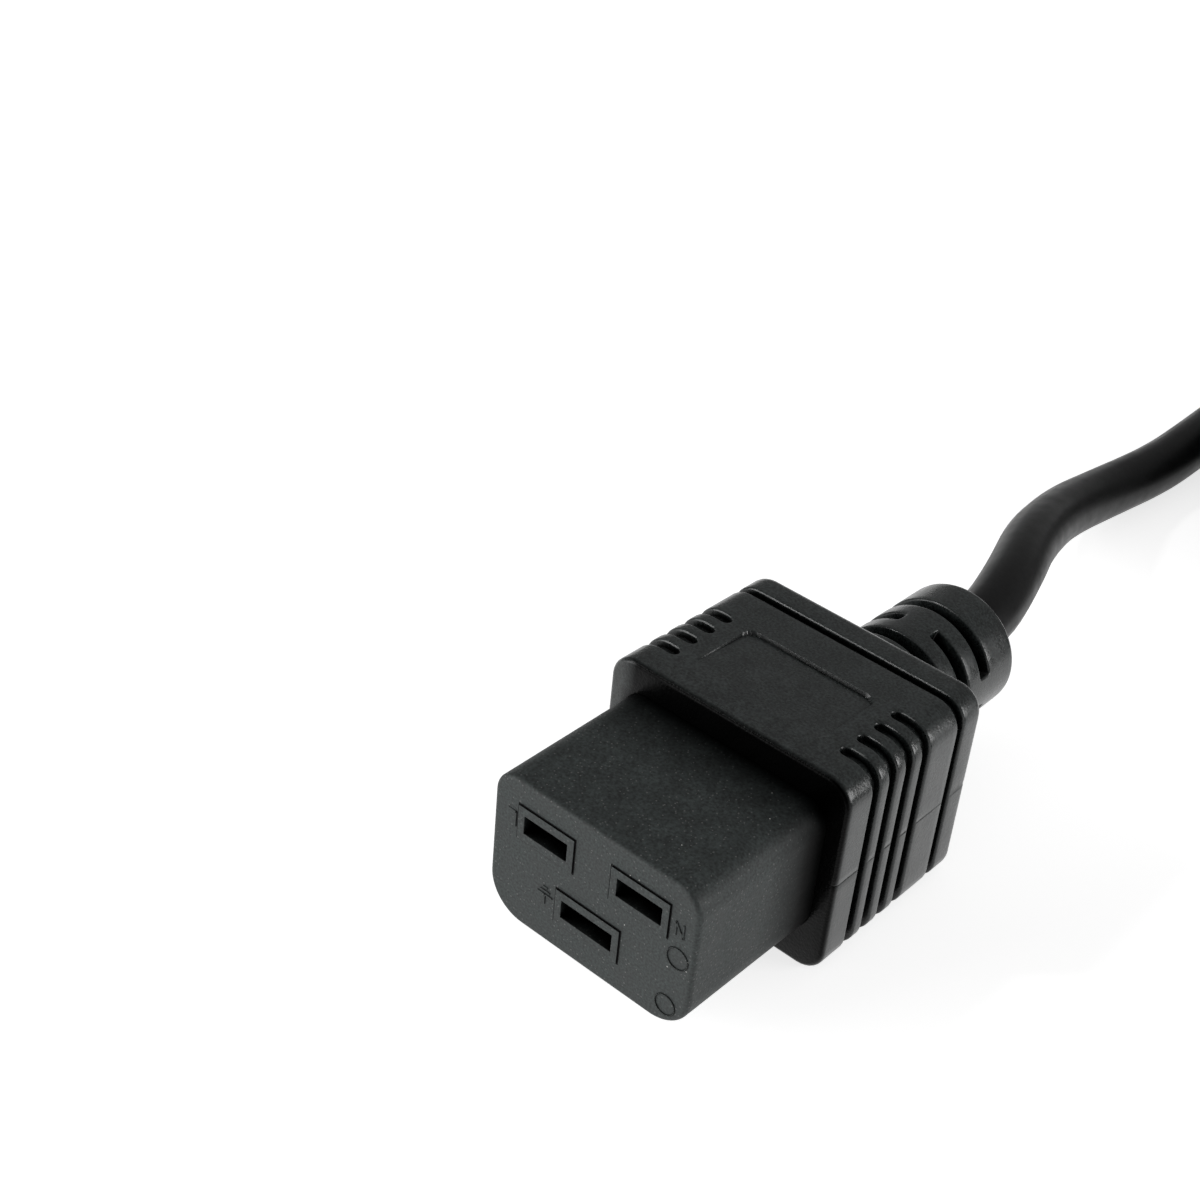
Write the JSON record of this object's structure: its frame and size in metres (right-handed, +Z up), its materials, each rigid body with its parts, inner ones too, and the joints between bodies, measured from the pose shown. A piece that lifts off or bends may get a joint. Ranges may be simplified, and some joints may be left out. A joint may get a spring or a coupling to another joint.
{
  "type": "c19 power connector with cord",
  "caption": "Rectangular high-current connector with slots for flat pins, a ribbed grip and a slotted boot, on a coiled cord that ends in its matching plug.",
  "frame": {"origin": "middle of the connector's box at its base, without the free cord and what is on it", "axes": "+Y from the mating face towards the cord, +Z up from the flat underside, +X to the right seen from the mating face"},
  "size_m": [0.1272, 0.2434, 0.0266],
  "materials": {
    "block_plastic": "fine spark-eroded texture, matt black",
    "grip_pvc": "soft black PVC, satin",
    "cord_pvc": "smooth black jacket, semi-gloss",
    "contact_brass": "stamped sheet",
    "pin_nickel": "nickel plated, bright",
    "copper": "bare stranded copper",
    "core_brown": "brown core insulation",
    "core_blue": "blue core insulation",
    "core_earth": "green and yellow core insulation",
    "tie_nylon": "black nylon"
  },
  "bodies": {
    "root": {"contact_block": "block_plastic", "chamber_cover": "block_plastic", "contact_line": "contact_brass", "contact_neutral": "contact_brass", "contact_earth": "contact_brass", "conductor_line": "copper", "conductor_neutral": "copper", "conductor_earth": "copper", "core_line": "core_brown", "core_neutral": "core_blue", "core_earth": "core_earth", "sheath_end": "cord_pvc", "overmould": "grip_pvc", "cord_lead": "cord_pvc", "cord_coil": "cord_pvc", "cord_tail": "cord_pvc", "coil_tie": "tie_nylon", "plug_shroud": "block_plastic", "pin_line": "pin_nickel", "pin_neutral": "pin_nickel", "pin_earth": "pin_nickel", "plug_conductor_line": "copper", "plug_conductor_neutral": "copper", "plug_conductor_earth": "copper", "plug_core_line": "core_brown", "plug_core_neutral": "core_blue", "plug_core_earth": "core_earth", "plug_sheath_end": "cord_pvc", "plug_overmould": "grip_pvc"}
  },
  "joints": []
}
